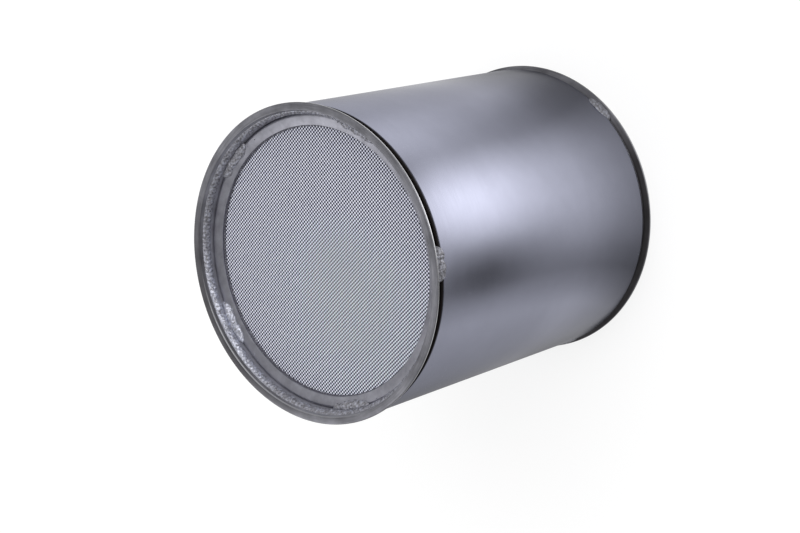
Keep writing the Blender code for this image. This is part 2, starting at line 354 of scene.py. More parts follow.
def satin_polished_sheet(colour, scorch_and_shade, roll):
    """Stainless sheet polished on a roller with a fine belt.

    Reflections stay soft but clear, bend where rolling left the sheet slightly wavy, and grow
    only a little towards its edges. The rolled ends beside the welds are almost black, partly
    oxide colour from welding and partly painted shade for the groove they sit in.
    """
    material, tree, shader = new_material("satin_polished_stainless_sheet", colour, 0.2, 1.0)
    direction, _, height = round_axis(tree)
    # Painted shade, with some oxide colour from welding: the rolled ends in the groove are drawn
    # almost black.
    roll_heat_and_shade = add_node(
        tree,
        "MapRange",
        {
            "Value": below_end(tree, height),
            **limits(jacket_setback + 0.9 * roll, jacket_setback + 0.4 * roll),
        },
        interpolation_type="SMOOTHSTEP",
    )
    finish = add_node(
        tree,
        "Mix",
        {"Factor": roll_heat_and_shade, MIX_FIRST: mottled(tree, colour, 0.045, 0.96, 1.03), MIX_SECOND: scorch_and_shade},
        MIX_RESULT,
        data_type="RGBA",
    )
    # Belt lines are about 0.05 mm apart. They are drawn about 1 mm apart, to show at this distance.
    turn = add_node(tree, "VectorMath", {0: direction, "Scale": 5.0}, operation="SCALE")
    climb = add_node(tree, "Math", {0: height, 1: 1000.0}, operation="MULTIPLY")
    lines = add_node(
        tree,
        "TexNoise",
        {"Vector": turn, "W": climb, "Scale": 1.0, "Detail": 2.0},
        noise_dimensions="4D",
    )
    sheen = add_node(tree, "MapRange", {"Value": lines, **limits(0.3, 0.7, 0.18, 0.24)})
    dulled = add_node(tree, "Math", {0: roll_heat_and_shade, 1: 0.35, 2: sheen}, operation="MULTIPLY_ADD")
    feed(tree, shader, {
        "Base Color": finish,
        "Roughness": dulled,
        "Specular Tint": (0.75, 0.75, 0.76, 1.0),
        "Normal": pebbled(tree, 0.060, 0.35 * MM),
    })
    return material


def turned_steel(colour, tint_and_highlight, worn_and_highlit, scorch_and_shade, closing, face_radius):
    """Forged stainless ring, faced on a lathe.

    The tool leaves faint rings round the axis, and the face is dull in patches. It is darker
    towards the side where the weld closed, and there a thin paler line follows its inner edge,
    partly oxide colour from welding and partly painted highlight. Weld smoke lies on the inner
    slope. The outer edge is painted bright, partly wear from handling and partly painted
    highlight, and painted shade darkens the rim's back all round but for one side.
    """
    material, tree, shader = new_material("turned_stainless_ring", colour, 0.36, 1.0)
    direction, radius, height = round_axis(tree)
    # Tool marks are about 0.2 mm apart. They are drawn about 1 mm apart, to show at this distance.
    across = add_node(tree, "Math", {0: radius, 1: 150.0}, operation="MULTIPLY")
    marks = add_node(
        tree,
        "TexNoise",
        {"Vector": direction, "W": across, "Scale": 6.0, "Detail": 4.0},
        noise_dimensions="4D",
    )
    rings = add_node(
        tree,
        "ValToRGB",
        {"Fac": marks},
        stops=((0.3, (0.66, 0.66, 0.66, 1.0)), (0.7, (1.0, 1.0, 1.0, 1.0))),
    )
    patches = mottled(tree, colour, 0.030, 0.60, 1.25, 8.0)
    finish = add_node(
        tree,
        "Mix",
        {"Factor": 1.0, MIX_FIRST: patches, MIX_SECOND: rings},
        MIX_RESULT,
        data_type="RGBA",
        blend_type="MULTIPLY",
    )
    # The face is drawn darker towards the side where the weld closed.
    closing_side_darkening = nearing(tree, direction, flat_direction(closing), 62, 0.62)
    # A pale line on the face's inner edge near the weld's close: partly oxide colour, partly
    # painted highlight.
    on_edge = add_node(tree, "Math", {0: radius, 1: face_radius, 2: 0.35 * MM}, operation="COMPARE")
    tint_line_side = nearing(tree, direction, flat_direction(closing + 0.7), 70, 1.0)
    tint_and_highlight_line = add_node(tree, "Math", {0: on_edge, 1: tint_line_side}, operation="MULTIPLY")
    # Painted highlight, with some wear: the rim's outer edge is drawn bright and glossy.
    edge_start = rim_radius - 0.3 * MM
    rubbed_and_highlit = add_node(tree, "MapRange", {"Value": radius, **limits(edge_start, rim_radius)})
    # Painted shade: the rim's back is drawn dark all round, least on one side.
    painted_back_shade = add_node(
        tree,
        "MapRange",
        {"Value": below_end(tree, height), **limits(1.6 * MM, 2.4 * MM, 0.0, 0.85)},
    )
    outside = add_node(tree, "Math", {0: radius, 1: face_radius + 1 * MM}, operation="GREATER_THAN")
    lit_side = nearing(tree, direction, flat_direction(math.radians(-5)), 60, 0.2, least=1.0)
    for share in (outside, lit_side):
        painted_back_shade = add_node(tree, "Math", {0: painted_back_shade, 1: share}, operation="MULTIPLY")
    for share, coat in (
        (closing_side_darkening, shaded(scorch_and_shade, 1.5)), (tint_and_highlight_line, tint_and_highlight), (rubbed_and_highlit, worn_and_highlit), (painted_back_shade, scorch_and_shade)
    ):
        finish = add_node(
            tree,
            "Mix",
            {"Factor": share, MIX_FIRST: finish, MIX_SECOND: coat},
            MIX_RESULT,
            data_type="RGBA",
        )
    feed(tree, shader, {
        "Base Color": finish,
        "Roughness": add_node(
            tree, "MapRange", {"Value": rubbed_and_highlit, **limits(0.0, 1.0, 0.36, 0.20)}
        ),
        "Metallic": add_node(
            tree, "MapRange", {"Value": radius, **limits(face_radius - 0.6 * MM, face_radius, 0.30)}
        ),
        "Normal": add_node(
            tree, "Bump", {"Height": marks, "Distance": 0.05 * MM, "Strength": 1.0}
        ),
    })
    return material


def pressed_sheet(colour):
    """Stainless sheet pressed to shape: an even, dull sheen with faint cloudy patches."""
    material, tree, shader = new_material("pressed_stainless_sheet", colour, 0.40, 1.0)
    tone = mottled(tree, colour, 0.012, 0.74, 1.15, 7.0)
    feed(tree, shader, {"Base Color": tone, "Normal": pebbled(tree, 1.2 * MM, 0.015 * MM)})
    return material


def mill_sheet(colour):
    """Stainless sheet as it left the mill, pale grey, flat and dull, in faint cloudy patches."""
    material, tree, shader = new_material("rolled_stainless_sheet", colour, 0.48, 0.6)
    tone = mottled(tree, colour, 0.012, 0.7, 1.05, 4.0)
    feed(tree, shader, {"Base Color": tone, "Normal": pebbled(tree, 1.5 * MM, 0.03 * MM)})
    return material


def weld_metal(colour, scale, closing):
    """Stainless weld metal, laid by hand with a wire-fed torch.

    It froze rough and pitted. Its colour follows the relief, darker in the pits and brighter on
    the crests: partly oxide scale, partly painted shade and painted highlight. Oxide dulls it to
    grey. Towards where the run closed on its start it is painted lighter and silvery blue, a
    painted highlight, and it is glossier there.
    """
    material, tree, shader = new_material("weld_bead_stainless", colour, 0.40, 0.7)
    direction, _, _ = round_axis(tree)
    place = add_node(tree, "TexCoord", output="Object")
    crests = add_node(
        tree,
        "TexNoise",
        {"Vector": place, "Scale": 1.0 / (2.4 * MM), "Detail": 4.0, "Roughness": 0.62},
    )
    # Painted highlight: towards where the run closed the colour is drawn lighter and bluer.
    closing_highlight = nearing(tree, direction, flat_direction(closing), 40, 0.12)
    # The colour follows the relief: painted shade in the pits, painted highlight on the crests,
    # over oxide scale.
    finish = add_node(
        tree,
        "ValToRGB",
        {"Fac": add_node(tree, "Math", {0: crests, 1: closing_highlight}, operation="ADD")},
        stops=((0.32, shaded(scale, 0.5)), (0.46, scale), (0.74, colour)),
    )
    shine = add_node(tree, "MapRange", {"Value": closing_highlight, **limits(0.0, 0.12, 0.50, 0.28)})
    relief = add_node(tree, "Bump", {"Height": crests, "Distance": 0.35 * MM, "Strength": 1.0})
    feed(tree, shader, {"Base Color": finish, "Roughness": shine, "Normal": relief})
    return material


def knitted_wire(colour, speck):
    """Stainless wire, knitted and squeezed into a rope.

    Painted shade darkens it between the wires, and its bright specks are painted highlights
    where a loop would turn to the light.
    """
    material, tree, shader = new_material("knitted_stainless_wire", colour, 0.45, 0.6)
    place = add_node(tree, "TexCoord", output="Object")
    # The wire is 0.15 mm thick. Its loops are drawn 1.2 mm wide, to show at this distance.
    loops = add_node(tree, "TexVoronoi", {"Vector": place, "Scale": 1.0 / (1.2 * MM)})
    # Painted shade between the loops and painted highlights at their middles.
    tone = add_node(tree, "ValToRGB", {"Fac": loops}, stops=((0.16, speck), (0.34, colour)))
    relief = add_node(tree, "Bump", {"Height": loops, "Distance": -0.3 * MM, "Strength": 1.0})
    feed(tree, shader, {"Base Color": tone, "Normal": relief})
    return material


def fired_ceramic(name, colour, grain, contrast):
    """Cordierite, matt and slightly porous, with grains that catch the light unevenly."""
    material, tree, shader = new_material(name, colour, 0.9, 0.0)
    tone = mottled(tree, colour, grain, 1.0 - contrast, 1.0 + contrast)
    feed(tree, shader, {"Base Color": tone, "Normal": pebbled(tree, grain, 0.04 * MM)})
    return material


def fibre_felt(name, colour, fibre_length):
    """Felted mineral fibre: soft, matt and streaky, with no shine at all."""
    material, tree, shader = new_material(name, colour, 1.0, 0.0)
    place = add_node(tree, "TexCoord", output="Object")
    lying = add_node(tree, "Mapping", {"Vector": place, "Scale": (1.0, 1.0, 5.0)})
    fibres = add_node(
        tree, "TexNoise", {"Vector": lying, "Scale": 1.0 / fibre_length, "Detail": 5.0}
    )
    tone = add_node(
        tree,
        "ValToRGB",
        {"Fac": fibres},
        stops=((0.3, shaded(colour, 0.8)), (0.7, shaded(colour, 1.1))),
    )
    relief = add_node(tree, "Bump", {"Height": fibres, "Distance": 0.3 * MM, "Strength": 1.0})
    feed(tree, shader, {"Base Color": tone, "Normal": relief})
    return material


def section_wire(corners, closed=True):
    """A section in the XZ plane from (radius, depth, corner radius), with its corners rounded.

    A section that starts and ends on the axis is left open there.
    """
    wire = bmesh.new()
    verts = [wire.verts.new((radius, 0.0, -depth)) for radius, depth, _ in corners]
    for index, vert in enumerate(verts):
        if index or closed:
            wire.edges.new((verts[index - 1], vert))
    for vert, (_, _, fillet) in zip(verts, corners):
        if not fillet:
            continue
        sides = [edge.other_vert(vert).co - vert.co for edge in vert.link_edges]
        half_angle = sides[0].angle(sides[1]) / 2
        bmesh.ops.bevel(
            wire,
            geom=[vert],
            offset=fillet / math.tan(half_angle),
            offset_type="OFFSET",
            affect="VERTICES",
            segments=CORNER_STEPS,
            profile=0.5,
            material=-1,
        )
    return wire


def spun(wire, steps=TURN_STEPS):
    """A section wire spun once round the can's axis."""
    bmesh.ops.spin(
        wire,
        geom=wire.verts[:] + wire.edges[:],
        cent=(0.0, 0.0, 0.0),
        axis=(0.0, 0.0, 1.0),
        angle=math.tau,
        steps=steps,
        use_merge=True,
    )
    bmesh.ops.remove_doubles(wire, verts=wire.verts, dist=0.001 * MM)
    bmesh.ops.recalc_face_normals(wire, faces=wire.faces)
    return wire


def add_piece(name, shape, materials, stands_for="", smooth_below=40):
    """Puts a finished shape in the scene, on the object's body, for the solid it stands for."""
    mesh = bpy.data.meshes.new(name)
    shape.to_mesh(mesh)
    shape.free()
    mesh.shade_smooth()
    mesh.set_sharp_from_angle(angle=math.radians(smooth_below))
    for material in materials:
        mesh.materials.append(material)
    piece = bpy.data.objects.new(name, mesh)
    bpy.context.scene.collection.objects.link(piece)
    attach(piece, "root")
    if stands_for:
        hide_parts(stands_for)


def add_at_ends(name, shape, materials, stands_for="", smooth_below=40):
    """The same shape at the inlet and, turned over, at the outlet."""
    for end, place in ENDS.items():
        copy = shape.copy()
        bmesh.ops.transform(copy, matrix=place, verts=copy.verts)
        node = stands_for.format(end=end)
        add_piece(f"{end}_{name}", copy, materials, node, smooth_below)
    shape.free()


def sharpened(value, power):
    """A number from 0 to 1 raised to a power, safe against a slight undershoot."""
    return max(value, 0.0) ** power


def lip_depth(sizes, radius):
    """Depth of the retaining ring's dished front."""
    return ring_setback + (ring_radius - radius) * sizes.lip_drop / sizes.lip_width


def back_depth(sizes, radius):
    """Depth of the rim's tapered back."""
    return sizes.rim_thickness + (rim_radius - radius) * math.tan(sizes.back_taper)


def flange_radii(sizes):
    """Inner radius of the gasket face, radius of the neck and bore of the flange."""
    bore = can_radius + sizes.fit
    return bore + sizes.lead_in_width, bore + sizes.neck_wall, bore


class FILTER_OT_flanges(bpy.types.Operator):
    """Turned flange rings with a flat gasket face, a tapered back and a neck round the can"""

    bl_idname = "filter.flanges"
    bl_label = "Flanges"

    def execute(self, context):
        sizes = context.scene.filter_sheet
        colours = context.scene.filter_colours
        face, neck, bore = flange_radii(sizes)
        ring = spun(section_wire([
            (face, 0.0, 0.9 * MM),
            (rim_radius, 0.0, sizes.rim_edge),
            (rim_radius, sizes.rim_thickness, sizes.rim_edge),
            (neck, back_depth(sizes, neck), 0.8 * MM),
            (neck, neck_length, 0.2 * MM),
            (bore, neck_length, 0.0),
            (bore, sizes.lead_in_depth, 0.0),
        ]))
        closing = context.scene.filter_welds.closing
        material = turned_steel(
            colours.turned, colours.tint_and_highlight, colours.worn_and_highlit, colours.scorch_and_shade, closing, face
        )
        add_at_ends("flange_ring", ring, [material], "{end}_flange")
        return {"FINISHED"}


class FILTER_OT_jacket(bpy.types.Operator):
    """Polished outer jacket with rolled ends"""

    bl_idname = "filter.jacket"
    bl_label = "Outer jacket"

    def execute(self, context):
        sizes = context.scene.filter_sheet
        colours = context.scene.filter_colours
        lip = flange_radii(sizes)[1] + sizes.fit
        near = jacket_setback
        far = overall_length - jacket_setback
        wall = sizes.jacket_wall
        inner_roll = sizes.jacket_roll - wall
        sheet = spun(section_wire([
            (lip, near, 0.0),
            (jacket_radius, near, sizes.jacket_roll),
            (jacket_radius, far, sizes.jacket_roll),
            (lip, far, 0.0),
            (lip, far - wall, 0.0),
            (jacket_radius - wall, far - wall, inner_roll),
            (jacket_radius - wall, near + wall, inner_roll),
            (lip, near + wall, 0.0),
        ]))
        bmesh.ops.transform(sheet, matrix=ENDS["inlet"], verts=sheet.verts)
        material = satin_polished_sheet(colours.polished, colours.scorch_and_shade, sizes.jacket_roll)
        add_piece("outer_jacket_sheet", sheet, [material], "outer_jacket")
        return {"FINISHED"}


class FILTER_OT_can(bpy.types.Operator):
    """Inner can, which holds the block and carries both flanges"""

    bl_idname = "filter.can"
    bl_label = "Inner can"

    def execute(self, context):
        sizes = context.scene.filter_sheet
        colours = context.scene.filter_colours
        bore = can_radius - sizes.can_wall
        tube = spun(section_wire([
            (bore, can_setback, 0.3 * MM),
            (can_radius, can_setback, 0.3 * MM),
            (can_radius, overall_length - can_setback, 0.3 * MM),
            (bore, overall_length - can_setback, 0.3 * MM),
        ]))
        bmesh.ops.transform(tube, matrix=ENDS["inlet"], verts=tube.verts)
        add_piece("inner_can_tube", tube, [mill_sheet(colours.rolled)], "inner_can")
        return {"FINISHED"}


class FILTER_OT_rings(bpy.types.Operator):
    """Pressed retaining rings, each with a skirt along the can and a dished lip over the block"""

    bl_idname = "filter.rings"
    bl_label = "Retaining rings"

    def execute(self, context):
        sizes = context.scene.filter_sheet
        colours = context.scene.filter_colours
        aperture = ring_radius - sizes.lip_width
        slope = math.atan2(sizes.lip_drop, sizes.lip_width)
        behind = sizes.ring_sheet / math.cos(slope)
        skirt_bore = ring_radius - sizes.ring_sheet
        ring = spun(section_wire([
            (aperture, lip_depth(sizes, aperture), sizes.lip_edge),
            (ring_radius, ring_setback, sizes.ring_corner),
            (ring_radius, skirt_end, 0.2 * MM),
            (skirt_bore, skirt_end, 0.2 * MM),
            (skirt_bore, lip_depth(sizes, skirt_bore) + behind, 0.7 * MM),
            (aperture, lip_depth(sizes, aperture) + behind, sizes.lip_edge),
        ]))
        material = pressed_sheet(colours.pressed)
        add_at_ends(
            "retaining_ring_pressed", ring, [material], "{end}_retaining_ring"
        )
        return {"FINISHED"}


class FILTER_OT_seals(bpy.types.Operator):
    """Knitted wire seals, squeezed between the rings' lips and the block"""

    bl_idname = "filter.seals"
    bl_label = "Wire seals"

    def execute(self, context):
        sizes = context.scene.filter_sheet
        colours = context.scene.filter_colours
        start = ring_radius - sizes.lip_width + sizes.fit
        slope = math.atan2(sizes.lip_drop, sizes.lip_width)
        behind = sizes.ring_sheet / math.cos(slope) + sizes.fit
        top = lip_depth(sizes, start) + behind
        wire = section_wire([
            (start, top, 0.5 * MM),
            (seal_radius - 2.9 * MM, lip_depth(sizes, seal_radius - 2.9 * MM) + behind, 0.0),
            (seal_radius, lip_depth(sizes, seal_radius) + behind + 2.9 * MM, 0.0),
            (seal_radius, seal_seat, 0.0),
            (start, seal_seat, 0.5 * MM),
        ])
        tall = [
            edge for edge in wire.edges
            if all(abs(vert.co.x - start) < 0.01 * MM for vert in edge.verts)
        ]
        bmesh.ops.subdivide_edges(wire, edges=tall, cuts=6)
        rope = spun(wire, 960)
        for vert in rope.verts:
            flat = vert.co.xy
            if flat.length > start + 1.2 * MM:
                continue
            loop = noise.noise(vert.co / (1.4 * MM)) + 0.5 * noise.noise(vert.co / (0.7 * MM))
            low = (-vert.co.z - top) / (seal_seat - top)
            squeezed = sharpened(math.sin(math.pi * (0.15 + 0.7 * low)), 0.7)
            vert.co.xy -= flat.normalized() * (1.2 * squeezed + 0.40 * loop) * MM
        material = knitted_wire(colours.wire, colours.speck)
        add_at_ends("mesh_seal_knit", rope, [material], "{end}_mesh_seal", 80)
        return {"FINISHED"}


class FILTER_OT_block(bpy.types.Operator):
    """Ceramic block: its skin, the honeycomb at both ends and the plugs in every second channel"""

    bl_idname = "filter.block"
    bl_label = "Ceramic block"

    def cells(self, sizes, radius, plugged):
        """Flat grid of channels within a radius, and its faces that are plugged or that aren't."""
        count = 2 * int(radius / sizes.pitch) + 1
        grid = bmesh.new()
        bmesh.ops.create_grid(
            grid, x_segments=count, y_segments=count, size=count * sizes.pitch / 2
        )
        outside = [f for f in grid.faces if f.calc_center_median().length > radius]
        bmesh.ops.delete(grid, geom=outside, context="FACES")
        chosen = []
        for face in grid.faces:
            centre = face.calc_center_median()
            steps = round(centre.x / sizes.pitch) + round(centre.y / sizes.pitch)
            if (steps % 2 == 1) == plugged:
                chosen.append(face)
        return grid, chosen

    def honeycomb(self, sizes, radius):
        """A slab with a blind square channel in each cell that isn't plugged."""
        slab, open_cells = self.cells(sizes, radius, plugged=False)
        rim = [edge for edge in slab.edges if edge.is_boundary]
        skirt = bmesh.ops.extrude_edge_only(slab, edges=rim)["geom"]
        low_verts = [item for item in skirt if isinstance(item, bmesh.types.BMVert)]
        bmesh.ops.translate(slab, verts=low_verts, vec=(0.0, 0.0, -sizes.slab_depth))
        low_edges = [
            item for item in skirt if isinstance(item, bmesh.types.BMEdge) and item.is_boundary
        ]
        bmesh.ops.contextual_create(slab, geom=low_edges)
        bmesh.ops.inset_individual(
            slab, faces=open_cells, thickness=sizes.wall / 2, use_even_offset=True
        )
        floors = bmesh.ops.extrude_discrete_faces(slab, faces=open_cells)["faces"]
        floor_verts = list({vert for face in floors for vert in face.verts})
        bmesh.ops.translate(slab, verts=floor_verts, vec=(0.0, 0.0, -sizes.shown_depth))
        for floor in floors:
            for edge in floor.edges:
                for face in edge.link_faces:
                    face.material_index = 1
        return slab

    def plugs(self, sizes, radius):
        """Low crowned blocks of cement over the plugged cells, no two quite alike."""
        cement, cells = self.cells(sizes, radius, plugged=True)
        other = [face for face in cement.faces if face not in set(cells)]
        bmesh.ops.delete(cement, geom=other, context="FACES")
        cells = cement.faces[:]
        rims = bmesh.ops.inset_individual(
            cement, faces=cells, thickness=sizes.wall / 2, use_even_offset=True
        )["faces"]
        bmesh.ops.delete(cement, geom=rims, context="FACES")
        cells = cement.faces[:]
        bmesh.ops.duplicate(cement, geom=cells)
        tops = bmesh.ops.extrude_discrete_faces(cement, faces=cells)["faces"]
        draw = random.Random(11)
        for top in tops:
            centre = top.calc_center_median()
            rise = sizes.plug_rise * draw.uniform(0.35, 1.0)
            shrink = draw.uniform(0.86, 0.95)
            lean = Vector((draw.uniform(-1, 1), draw.uniform(-1, 1))) * 0.05
            for vert in top.verts:
                arm = vert.co - centre
                vert.co = centre + arm * shrink
                vert.co.z += rise + arm.xy.dot(lean)
        bmesh.ops.remove_doubles(cement, verts=cement.verts, dist=0.001 * MM)
        bmesh.ops.recalc_face_normals(cement, faces=cement.faces)
        return cement

    def body(self, sizes, recess_radius):
        """The block's skin and core, with a recess at each end that takes a slab."""
        gap = 0.05 * MM
        near = block_recess + gap
        far = overall_length - near
        deep = block_recess + sizes.slab_depth + gap
        return spun(section_wire([
            (0.0, deep, 0.0),
            (recess_radius, deep, 0.0),
            (recess_radius, near, 0.0),
            (block_radius, near, 0.0),
            (block_radius, far, 0.0),
            (recess_radius, far, 0.0),
            (recess_radius, overall_length - deep, 0.0),
            (0.0, overall_length - deep, 0.0),
        ], closed=False))

    def execute(self, context):
        sizes = context.scene.filter_channels
        sheet = context.scene.filter_sheet
        colours = context.scene.filter_colours
        aperture = ring_radius - sheet.lip_width
        filled = aperture + 2 * sizes.pitch
        ceramic = fired_ceramic("extruded_cordierite", colours.ceramic, 0.9 * MM, 0.08)
        # Painted shade: the channels are drawn short, so their walls and floors are near black for
        # the shade deep inside.
        painted_shade = fired_ceramic("channel_washcoat", colours.channel, 1.5 * MM, 0.20)
        cement = fired_ceramic("cordierite_plug_cement", colours.plug, 2.0 * MM, 0.10)
        block = self.body(sizes, filled + sizes.pitch)
        bmesh.ops.transform(block, matrix=ENDS["inlet"], verts=block.verts)
        add_piece("filter_block_skin", block, [ceramic], "filter_block")
        face_depth = Matrix.Translation((0.0, 0.0, -block_recess))
        comb = self.honeycomb(sizes, filled)
        bmesh.ops.transform(comb, matrix=face_depth, verts=comb.verts)
        add_at_ends(
            "filter_block_honeycomb", comb, [ceramic, painted_shade], "filter_block", 20
        )
        plugs = self.plugs(sizes, filled)
        bmesh.ops.transform(plugs, matrix=face_depth, verts=plugs.verts)
        add_at_ends("filter_block_plugs", plugs, [cement], "filter_block", 20)
        return {"FINISHED"}


def bead_relief(place, across, along, weld, lumpy):
    """Bulge, ripples, lumps and pits of a bead, where across goes from 0 to 1 between its toes."""
    dome = sharpened(math.sin(math.pi * across), 0.6)
    curl = 1.1 * (2 * across - 1) ** 2
    ripple = weld.ripple * (abs(math.sin(along + curl)) - 0.6) * (1 - 0.6 * lumpy)
    lump = noise.noise(place / (5.5 * MM)) + 0.7 * noise.noise(place / (2.2 * MM))
    pit = sharpened(noise.noise(place / (2.2 * MM) + Vector((7.0, 3.0, 1.0))) - 0.36, 0.5)
    uneven = weld.lump * (0.7 + 1.3 * lumpy) * lump
    return dome * (weld.crown * (1 + 0.35 * lumpy) + ripple + uneven - weld.pit * pit)


class FILTER_OT_flange_welds(bpy.types.Operator):
    """Rippled fillet welds that run round between each flange's slope and the can's end"""

    bl_idname = "filter.flange_welds"
    bl_label = "Flange welds"

    def execute(self, context):
        sizes = context.scene.filter_sheet
        weld = context.scene.filter_welds
        colours = context.scene.filter_colours
        face, _, bore = flange_radii(sizes)
        can_bore = can_radius - sizes.can_wall
        toe_depth = sizes.lead_in_depth - weld.leg
        slope = sizes.lead_in_width / sizes.lead_in_depth
        upper = Vector((face - toe_depth * slope + 0.1 * MM, toe_depth))
        lower = Vector((can_bore + 0.1 * MM, can_setback + weld.lap))
        wire = section_wire([
            (*upper, 0.0),
            (*lower, 0.0),
            (can_bore + 0.8 * MM, can_setback + 0.5 * weld.lap, 0.0),
            (bore + 0.1 * MM, sizes.lead_in_depth, 0.0),
        ])
        wire.edges.ensure_lookup_table()
        bmesh.ops.subdivide_edges(wire, edges=[wire.edges[1]], cuts=BEAD_ROWS)
        bead = spun(wire, weld.ripples * STEPS_PER_RIPPLE)
        chord = lower - upper
        outward = Vector((-chord.y, chord.x)).normalized()
        for vert in bead.verts:
            flat = vert.co.xy
            offset = Vector((flat.length, -vert.co.z)) - upper
            across = offset.dot(chord) / chord.length_squared
            if abs(offset.dot(outward)) > 0.01 * MM or not 0.0 < across < 1.0:
                continue
            turn = math.atan2(flat.y, flat.x)
            closing = math.cos(turn - weld.closing)
            lumpy = min(max((closing - 0.95) / 0.03, 0.0), 1.0)
            along = turn * weld.ripples / 2
            shift = outward * bead_relief(vert.co, across, along, weld, lumpy)
            vert.co.xy += flat.normalized() * shift.x
            vert.co.z -= shift.y
        bmesh.ops.recalc_face_normals(bead, faces=bead.faces)
        material = weld_metal(colours.weld, colours.scale, weld.closing)
        add_at_ends("flange_weld_bead", bead, [material], "{end}_flange_weld", 70)
        return {"FINISHED"}


def weld_run(length, radius, root, toes, crown, weld, seed):
    """A short weld across the +X direction: a domed skin from toe to toe, closed to its root."""
    run = bmesh.new()
    bmesh.ops.create_grid(run, x_segments=72, y_segments=18, size=1.0)
    start, stop = toes
    chord = stop - start
    outward = Vector((-chord.y, chord.x)).normalized()
    if outward.dot(start - root) < 0:
        outward.negate()
    half_turn = length / radius / 2
    for vert in run.verts:
        t = vert.co.x
        across = (vert.co.y + 1) / 2
        full = sharpened(1 - t ** 4, 0.5)
        flow = noise.noise(Vector((t * 3.0, seed, across * 0.6)))
        point = root + (start.lerp(stop, across) - root) * full * (1.0 + 0.3 * flow)
        place = Vector((t * length / 2, across * chord.length, seed * MM))
        lump = noise.noise(place / (5.0 * MM)) + 0.9 * noise.noise(place / (2.2 * MM))
        ripple = abs(math.sin(t * length / 2 / (4.2 * MM) * math.pi + 1.2 * across)) - 0.6
        pit = sharpened(noise.noise(place / (2.8 * MM) + Vector((seed, 3.0, 1.0))) - 0.3, 0.5)
        dome = sharpened(math.sin(math.pi * across), 0.55) * full
        rise = crown + 0.3 * weld.ripple * ripple + 1.5 * weld.lump * lump - weld.pit * pit
        point += outward * rise * dome
        vert.co = Matrix.Rotation(t * half_turn, 3, "Z") @ Vector((point.x, 0.0, -point.y))
    border = [edge for edge in run.edges if edge.is_boundary]
    flaps = bmesh.ops.extrude_edge_only(run, edges=border)["geom"]
    for vert in flaps:
        if isinstance(vert, bmesh.types.BMVert):
            away = vert.co.xy.normalized() * root.x
            vert.co = Vector((away.x, away.y, -root.y))
    bmesh.ops.remove_doubles(run, verts=run.verts, dist=0.02 * MM)
    bmesh.ops.dissolve_degenerate(run, edges=run.edges, dist=0.001 * MM)
    bmesh.ops.recalc_face_normals(run, faces=run.faces)
    return run


def turn_of(node):
    """Azimuth of a short weld's middle at the inlet."""
    middle = sum((vert.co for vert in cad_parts[node].data.vertices), Vector())
    return math.atan2(middle.y, middle.x)


def add_runs(kind, seeds, length, radius, root, toes, crown):
    """Short welds at both ends, one for each solid of a kind, with seeds as (first, step)."""
    weld = bpy.context.scene.filter_welds
    colours = bpy.context.scene.filter_colours
    material = weld_metal(colours.weld, colours.scale, weld.closing)
    count = sum(name.startswith(f"inlet_{kind}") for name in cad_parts)
    for index in range(count):
        node = f"{kind}_{index + 1}"
        seed = seeds[0] + seeds[1] * index
        run = weld_run(length, radius, root, toes, crown, weld, seed)
        turn = Matrix.Rotation(turn_of(f"inlet_{node}"), 4, "Z")
        bmesh.ops.transform(run, matrix=turn, verts=run.verts)
        add_at_ends(f"{node}_run", run, [material], "{end}_" + node, 70)


class FILTER_OT_tacks(bpy.types.Operator):
    """Tack welds that hold each retaining ring to the can's wall"""

    bl_idname = "filter.tacks"
    bl_label = "Ring tacks"

    def execute(self, context):
        sizes = context.scene.filter_sheet
        weld = context.scene.filter_welds
        wall = can_radius - sizes.can_wall
        toe = wall - weld.tack_reach
        root = Vector((wall + 0.1 * MM, ring_setback + 0.9 * MM))
        toes = (
            Vector((wall + 0.1 * MM, ring_setback - weld.tack_height)),
            Vector((toe, lip_depth(sizes, toe) + 0.2 * MM)),
        )
        add_runs("ring_tack", (0, 3.7), weld.tack_length, wall, root, toes, weld.tack_crown)
        return {"FINISHED"}


class FILTER_OT_stitches(bpy.types.Operator):
    """Stitch welds that fill the groove behind each rim and lap onto the jacket"""

    bl_idname = "filter.stitches"
    bl_label = "Jacket stitches"

    def execute(self, context):
        sizes = context.scene.filter_sheet
        weld = context.scene.filter_welds
        neck = flange_radii(sizes)[1]
        low = jacket_radius + 0.3 * MM
        roll_end = jacket_setback + sizes.jacket_roll
        root = Vector((neck + 1.0 * MM, jacket_setback - 0.6 * MM))
        toes = (
            Vector((low, back_depth(sizes, low) + 0.1 * MM)),
            Vector((jacket_radius - 0.1 * MM, roll_end + 3.4 * MM)),
        )
        add_runs(
            "jacket_stitch", (9, 1), weld.stitch_length, jacket_radius, root, toes,
            weld.stitch_crown,
        )
        return {"FINISHED"}


class FILTER_OT_spatter(bpy.types.Operator):
    """Drops of weld spatter, most of them beside the tacks"""

    bl_idname = "filter.spatter"
    bl_label = "Weld spatter"

    def execute(self, context):
        sizes = context.scene.filter_sheet
        weld = context.scene.filter_welds
        colours = context.scene.filter_colours
        wall = can_radius - sizes.can_wall
        draw = random.Random(5)
        drops = bmesh.new()
        for index in range(weld.spatters):
            turn = turn_of(f"inlet_ring_tack_{index % 5 + 1}") + draw.gauss(0.0, 0.22)
            radius = wall - 2.4 * MM - abs(draw.gauss(0.0, 2.4 * MM))
            size = weld.spatter_size * draw.uniform(0.25, 1.0) ** 2
            depth = lip_depth(sizes, radius) - 0.35 * size
            place = Matrix.Rotation(turn, 4, "Z") @ Matrix.Translation((radius, 0.0, -depth))
            bmesh.ops.create_icosphere(drops, subdivisions=2, radius=size, matrix=place)
        material = weld_metal(colours.weld, colours.scale, weld.closing)
        add_at_ends("weld_spatter", drops, [material], smooth_below=70)
        return {"FINISHED"}


